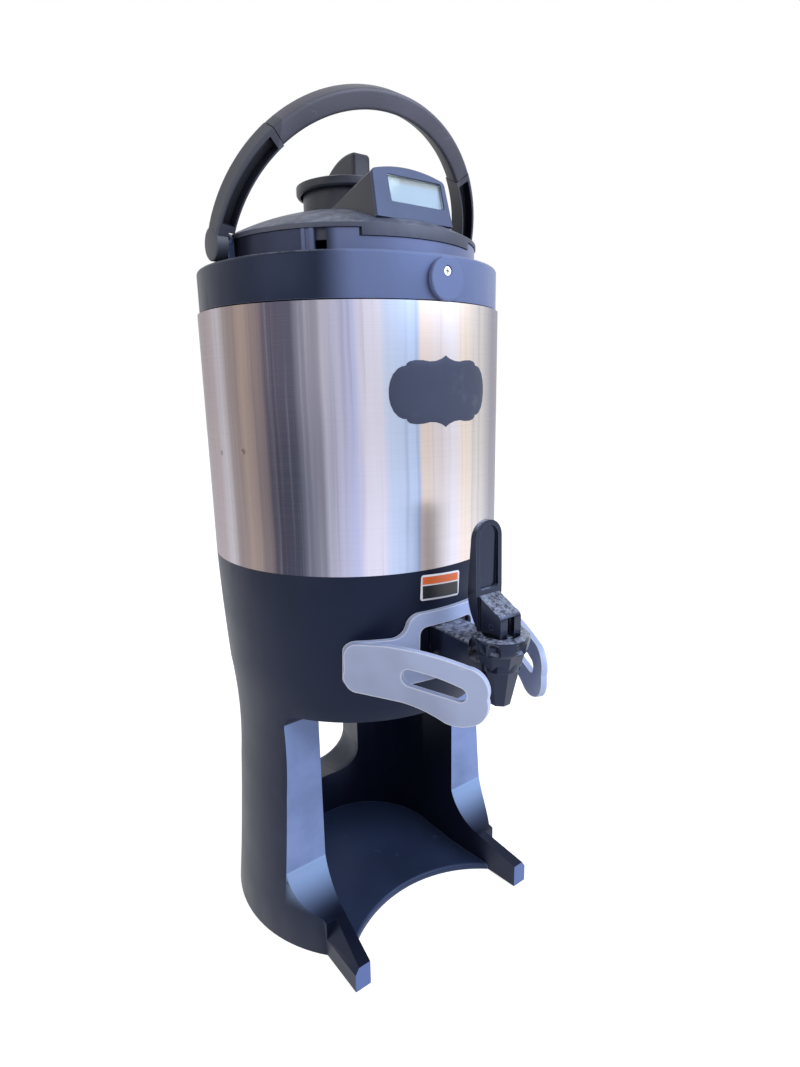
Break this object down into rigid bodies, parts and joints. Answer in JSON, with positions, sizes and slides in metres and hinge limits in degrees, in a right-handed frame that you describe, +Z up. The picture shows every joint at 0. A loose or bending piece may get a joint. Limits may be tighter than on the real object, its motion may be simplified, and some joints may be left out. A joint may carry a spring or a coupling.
{
  "type": "insulated drink server",
  "caption": "Upright insulated drink server: waisted pedestal with a cup bay, steel vessel, lid with timer and flip cap, bail handle, and a lever tap behind a winged guard.",
  "frame": {"origin": "on the vessel's axis, at floor level under the rubber feet", "axes": "+Z up, +X to the right as seen from the front, -Y to the front, where the tap is"},
  "size_m": [0.243, 0.3143, 0.6468],
  "materials": {
    "base_plastic": "satin",
    "shell_steel": "brushed",
    "liner_steel": "satin",
    "collar_plastic": "satin",
    "handle_plastic": "matte",
    "lid_plastic": "matte",
    "tap_plastic": "gloss",
    "guard_plastic": "satin",
    "seal_rubber": "matte",
    "lens_clear": "clear",
    "lcd_glass": "gloss",
    "board_green": "satin",
    "bright_metal": "bright",
    "screw_steel": "satin"
  },
  "bodies": {
    "server": {"base_shell": "base_plastic", "deck_plate": "base_plastic", "rubber_feet": "seal_rubber", "body_shell": "shell_steel", "vessel_cushion": "seal_rubber", "inner_liner": "liner_steel", "outlet_spud": "liner_steel", "top_collar": "collar_plastic", "pivot_pins": "screw_steel", "collar_boss": "collar_plastic", "boss_screw": "screw_steel", "recess_plate": "tap_plastic", "plate_screws": "screw_steel", "tap_shank": "liner_steel", "shank_washer": "seal_rubber", "shank_nut": "screw_steel", "valve_body": "tap_plastic", "bonnet": "tap_plastic", "bonnet_nut": "tap_plastic", "stem_spring": "screw_steel", "tap_guard": "guard_plastic"},
    "handle": {"handle_grip": "handle_plastic", "handle_leg_left": "handle_plastic", "handle_leg_right": "handle_plastic"},
    "lid": {"lid_skirt": "lid_plastic", "lid_cover": "lid_plastic", "lid_plug": "lid_plastic", "lid_gasket": "seal_rubber", "lid_screws": "screw_steel", "brew_funnel": "lid_plastic", "fill_neck": "lid_plastic", "cap_hinge_pin": "screw_steel", "display_housing": "lid_plastic", "display_bezel": "lid_plastic", "display_lens": "lens_clear", "lcd_panel": "lcd_glass", "circuit_board": "board_green", "coin_cell": "bright_metal"},
    "cap": {"fill_cap": "lid_plastic", "cap_seal": "seal_rubber"},
    "stem": {"valve_stem": "screw_steel", "seat_cup": "seal_rubber", "lever_pin": "screw_steel"},
    "lever": {"tap_lever": "tap_plastic"}
  },
  "joints": [
    {"name": "handle_swing", "type": "hinge", "parent": "server", "child": "handle", "pos_m": [0, -0.005, 0.544], "axis": [1, 0, 0], "range_deg": [-80, 55]},
    {"name": "lid_turn", "type": "hinge", "parent": "server", "child": "lid", "pos_m": [0, 0, 0.5325], "axis": [0, 0, 1], "range_deg": [0, 32]},
    {"name": "cap_flip", "type": "hinge", "parent": "lid", "child": "cap", "pos_m": [0, 0.043, 0.5883], "axis": [-1, 0, 0], "range_deg": [0, 100]},
    {"name": "stem_lift", "type": "slide", "parent": "server", "child": "stem", "axis": [0, 0, 1], "range_m": [0, 0.0063], "stiffness_N_per_m": 50, "springref_m": -0.004, "deforming": ["stem_spring"]},
    {"name": "lever_swing", "type": "hinge", "parent": "stem", "child": "lever", "pos_m": [0, -0.174, 0.29], "axis": [1, 0, 0], "range_deg": [0, 40]}
  ],
  "couplings": [
    {"joint": "stem_lift", "follows": "lever_swing", "m_per_rad": 0.009}
  ]
}
